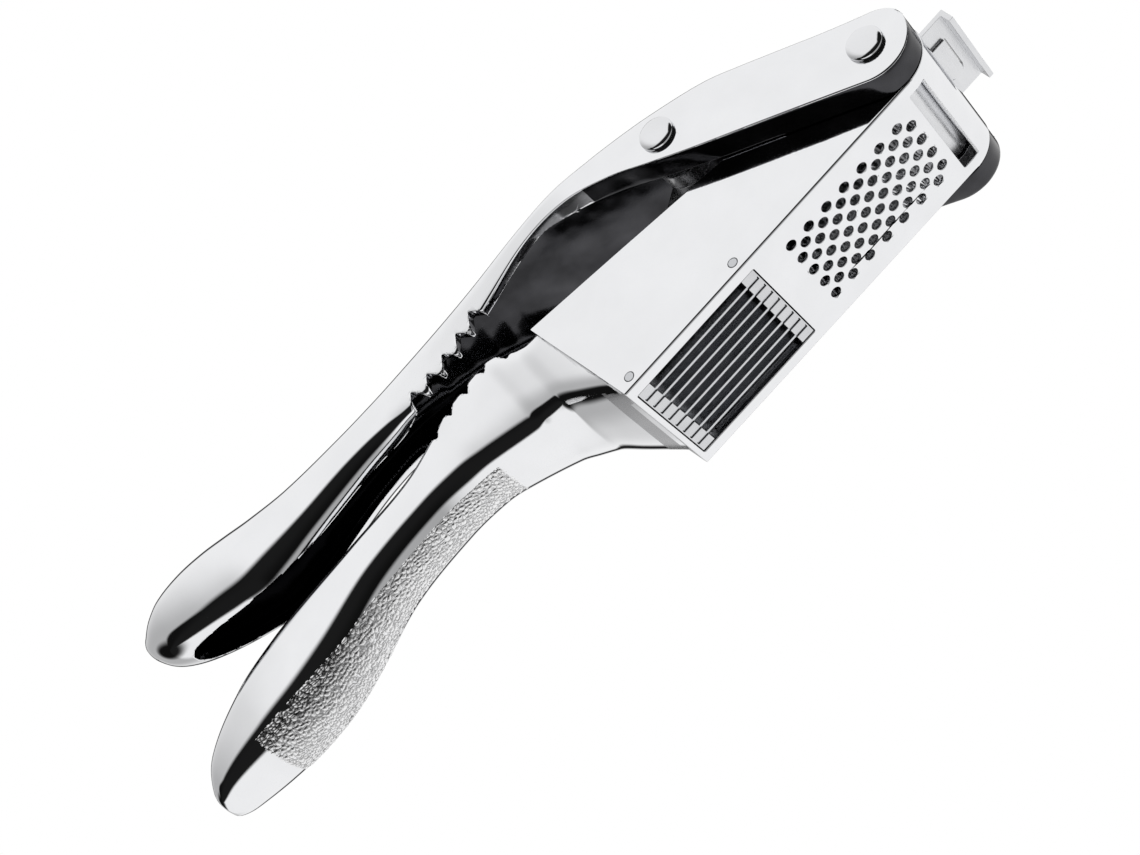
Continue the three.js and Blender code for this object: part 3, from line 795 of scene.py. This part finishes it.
def along(axis):
    """How far a direction leans along axis: the cosine of the angle between them."""
    node = world.node_tree.nodes.new("ShaderNodeVectorMath")
    node.operation = "DOT_PRODUCT"
    world.node_tree.links.new(direction, node.inputs[0])
    node.inputs[1].default_value = axis
    return node.outputs["Value"]


# A white tent, read by the angle round the long axis and by the lean along it. It has a dark
# slit towards the lower front that flares at the handle end, a grey skirt under the slit, a slow
# fall towards the handle end, a dark ring behind that draws a thin line round polished edges,
# and dark cards past both ends. Each pair below is where an edge of one of them starts and ends.
SLIT_UNDER, SLIT_OVER = (-0.47, -0.27), (0.58, 0.82)
FLARE_LEAN, FLARE_WIDTH = (-0.95, -0.7), 0.6
SKIRT_UNDER, SKIRT_OVER, SKIRT_LEAN = (-1.45, -1.1), (-0.3, 0.3), (-0.45, -0.15)
FALL_ANGLE, FALL_LEAN = (0.2, 0.8), (-0.85, -0.15)
LOW_ANGLE, LOW_LEAN = (-2.3, -1.95), (-0.85, -0.45)
RING_OUTER, RING_INNER, RING_CENTRE = (0.80, 0.88), (0.93, 0.97), 0.4
CARD_DIRECTION, CARD_EDGE = (0.83, -0.56, 0.0), (0.86, 0.93)
CAP_LEAN = (-0.98, -0.91)
TENT_LEVEL, SKIRT_LEVEL, FALL_LEVEL, DARK_LEVEL = 0.96, 0.42, 0.5, 0.012

SIDE = Vector((0, -0.69, 0.72)).normalized()
angle = n.math("ARCTAN2", along(SIDE), along(BACK))
lean = along(Vector((1, 0, 0)))
flare = n.math("SUBTRACT", angle, n.remap(lean, *FLARE_LEAN, FLARE_WIDTH, 0))
slit = n.math("MULTIPLY", n.remap(angle, *SLIT_UNDER, 0, 1), n.remap(flare, *SLIT_OVER, 1, 0))
skirt = n.math("MULTIPLY", n.remap(angle, *SKIRT_UNDER, 0, 1), n.remap(lean, *SKIRT_LEAN, 0, 1))
skirt = n.math("MULTIPLY", skirt, n.remap(angle, *SKIRT_OVER, 1, 0))
fall = n.math("MULTIPLY", n.remap(lean, *FALL_LEAN, 1, 0), n.remap(angle, *FALL_ANGLE, 0, 1))
low = n.math("MULTIPLY", n.remap(lean, *LOW_LEAN, 1, 0), n.remap(angle, *LOW_ANGLE, 1, 0))
behind = along(-BACK)
ring = n.math("MULTIPLY", n.remap(behind, *RING_OUTER, 0, 1),
              n.remap(behind, *RING_INNER, 1, RING_CENTRE))
card = n.remap(along(Vector(CARD_DIRECTION)), *CARD_EDGE, 0, 1)
cap = n.remap(lean, *CAP_LEAN, 1, 0)
dark = n.math("MAXIMUM", n.math("MAXIMUM", slit, ring), n.math("MAXIMUM", card, cap))
tone = n.math("MULTIPLY", n.remap(skirt, 0, 1, TENT_LEVEL, SKIRT_LEVEL, "LINEAR"),
              n.remap(n.math("MAXIMUM", fall, low), 0, 1, 1, FALL_LEVEL, "LINEAR"))
strength = n.math("MULTIPLY", tone, n.remap(dark, 0, 1, 1, DARK_LEVEL, "LINEAR"))
seen = world.node_tree.nodes.new("ShaderNodeLightPath").outputs["Is Camera Ray"]
tent = n.add("ShaderNodeBackground", Color=WHITE, Strength=strength)
backdrop = n.add("ShaderNodeBackground", Color=WHITE, Strength=1.0)
mix = world.node_tree.nodes.new("ShaderNodeMixShader")
world.node_tree.links.new(seen, mix.inputs[0])
world.node_tree.links.new(tent.outputs[0], mix.inputs[1])
world.node_tree.links.new(backdrop.outputs[0], mix.inputs[2])
output = world.node_tree.nodes.new("ShaderNodeOutputWorld")
world.node_tree.links.new(mix.outputs[0], output.inputs[0])
bpy.context.scene.view_settings.view_transform = "Standard"

# A soft box above the near side for the floor. Metal does not reflect it.
softbox_data = bpy.data.lights.new("softbox", "AREA")
softbox_data.shape = "RECTANGLE"
softbox_data.size, softbox_data.size_y = 0.5, 0.3
softbox_data.energy = 2.0
softbox = bpy.data.objects.new("softbox", softbox_data)
softbox.location = (-0.1, -0.35, 0.55)
softbox.visible_glossy = False
softbox.rotation_euler = (-softbox.location).to_track_quat("-Z", "Y").to_euler()
bpy.context.scene.collection.objects.link(softbox)

# ------------------------------------------------------------------ floor
# The main view looks up from under the floor, so the floor shows its upper face only.
FLOOR_HALF = 1500
floor = block("floor", -FLOOR_HALF, FLOOR_HALF, -FLOOR_HALF, FLOOR_HALF, -1.6, -0.6)
floor.data.transform(Matrix.Scale(MM, 4))
paint = bpy.data.materials.new("pale floor")
paint.use_nodes = True
paint.node_tree.nodes.clear()
f = Nodes(paint.node_tree)
place = paint.node_tree.nodes.new("ShaderNodeTexCoord").outputs["Object"]
mottle = f.add("ShaderNodeTexNoise", Vector=place, Scale=6.0, Detail=2.0).outputs[0]
level = f.remap(mottle, NOISE_LOW, NOISE_HIGH, 0.74, 0.80)
pale = f.add("ShaderNodeBsdfDiffuse", Color=level).outputs[0]
clear = f.add("ShaderNodeBsdfTransparent").outputs[0]
up = paint.node_tree.nodes.new("ShaderNodeSeparateXYZ")
geometry = paint.node_tree.nodes.new("ShaderNodeNewGeometry")
paint.node_tree.links.new(geometry.outputs["Normal"], up.inputs[0])
shown = paint.node_tree.nodes.new("ShaderNodeMixShader")
paint.node_tree.links.new(f.math("GREATER_THAN", up.outputs[2], 0.5), shown.inputs[0])
paint.node_tree.links.new(clear, shown.inputs[1])
paint.node_tree.links.new(pale, shown.inputs[2])
paint_output = paint.node_tree.nodes.new("ShaderNodeOutputMaterial")
paint.node_tree.links.new(shown.outputs[0], paint_output.inputs[0])
floor.data.materials.append(paint)
floor.visible_diffuse = floor.visible_glossy = floor.visible_shadow = False
floor.visible_transmission = False
